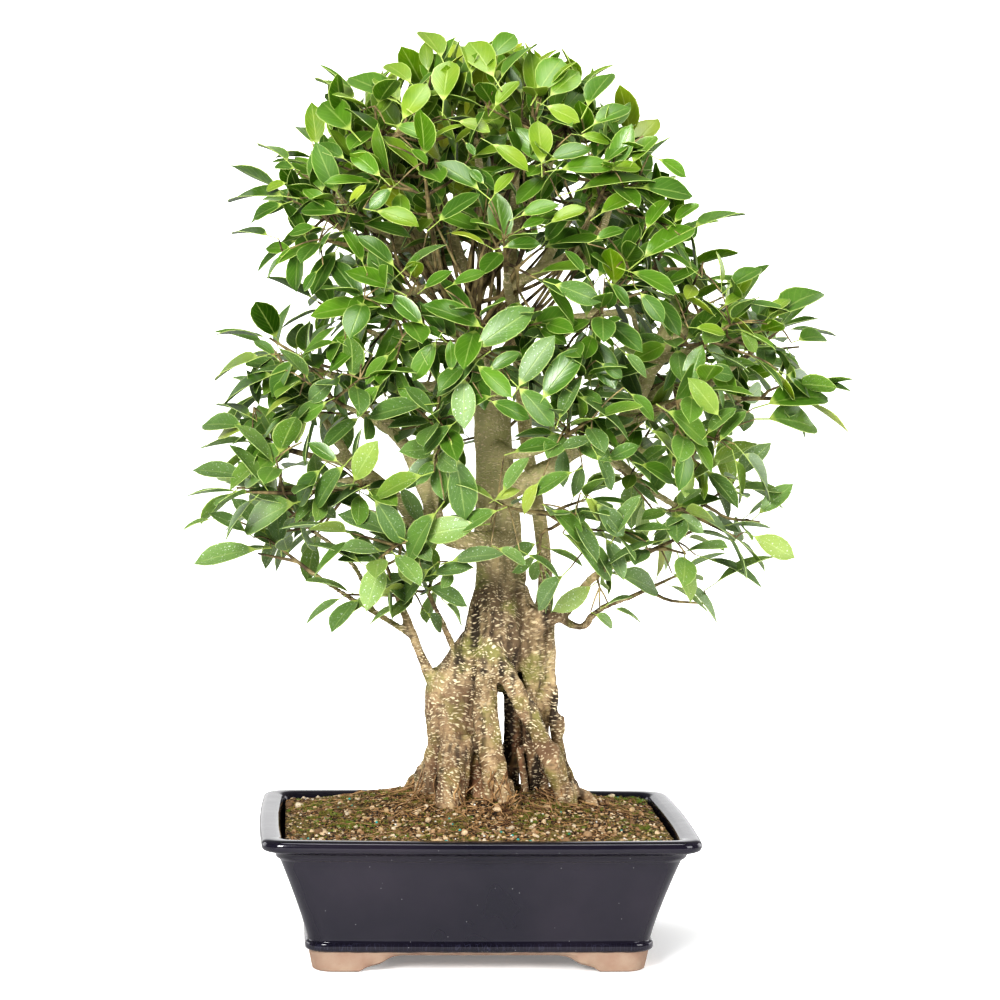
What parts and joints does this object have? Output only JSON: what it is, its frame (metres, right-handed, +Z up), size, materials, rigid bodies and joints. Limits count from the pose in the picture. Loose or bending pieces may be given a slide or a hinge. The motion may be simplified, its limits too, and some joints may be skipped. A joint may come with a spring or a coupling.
{
  "type": "ficus bonsai in a glazed rectangular pot",
  "caption": "Broad-crowned ficus bonsai with fused aerial roots and leafy shoots, growing in mounded soil in a dark glazed rectangular pot on corner feet",
  "frame": {"origin": "on the standing surface, in the middle of the whole object's footprint box", "axes": "+Z up, the pot's long front faces -Y, +X to the right seen from the front"},
  "size_m": [0.6296, 0.4214, 0.8722],
  "materials": {
    "glazed_clay": "dark navy gloss glaze over beige stoneware, bare below the bead",
    "drain_mesh": "matte black plastic screen",
    "soil": "loose brown bonsai soil with gravel and moss",
    "bark": "rough beige-olive bark with pale lenticels",
    "old_leaves": "waxy mid-green leaf",
    "young_leaves": "waxy yellow-green young leaf"
  },
  "bodies": {
    "root": {"pot": "glazed_clay", "drain_mesh_left": "drain_mesh", "drain_mesh_right": "drain_mesh", "soil": "soil", "trunk": "bark", "spray_01": "old_leaves", "spray_02": "old_leaves", "spray_03": "old_leaves", "spray_04": "old_leaves", "spray_05": "old_leaves", "spray_06": "old_leaves", "spray_07": "old_leaves", "spray_08": "old_leaves", "spray_09": "old_leaves", "spray_10": "old_leaves", "spray_11": "old_leaves", "spray_12": "old_leaves", "spray_13": "old_leaves", "spray_14": "old_leaves", "spray_15": "old_leaves", "spray_16": "old_leaves", "spray_17": "young_leaves", "spray_18": "old_leaves", "spray_19": "young_leaves", "spray_20": "old_leaves", "spray_21": "old_leaves", "spray_22": "young_leaves", "spray_23": "young_leaves", "spray_24": "young_leaves", "spray_25": "young_leaves", "spray_26": "young_leaves", "spray_27": "young_leaves", "spray_28": "young_leaves", "spray_29": "young_leaves", "spray_30": "young_leaves", "spray_31": "old_leaves", "spray_32": "old_leaves", "spray_33": "old_leaves", "spray_34": "old_leaves", "spray_35": "old_leaves", "spray_36": "old_leaves", "spray_37": "old_leaves", "spray_38": "old_leaves", "spray_39": "old_leaves", "spray_40": "old_leaves", "spray_41": "old_leaves", "spray_42": "old_leaves", "spray_43": "old_leaves", "spray_44": "old_leaves", "spray_45": "old_leaves", "spray_46": "old_leaves", "spray_47": "old_leaves", "spray_48": "old_leaves", "spray_49": "old_leaves", "spray_50": "old_leaves", "spray_51": "old_leaves", "spray_52": "old_leaves", "spray_53": "old_leaves", "spray_54": "old_leaves"}
  },
  "joints": []
}
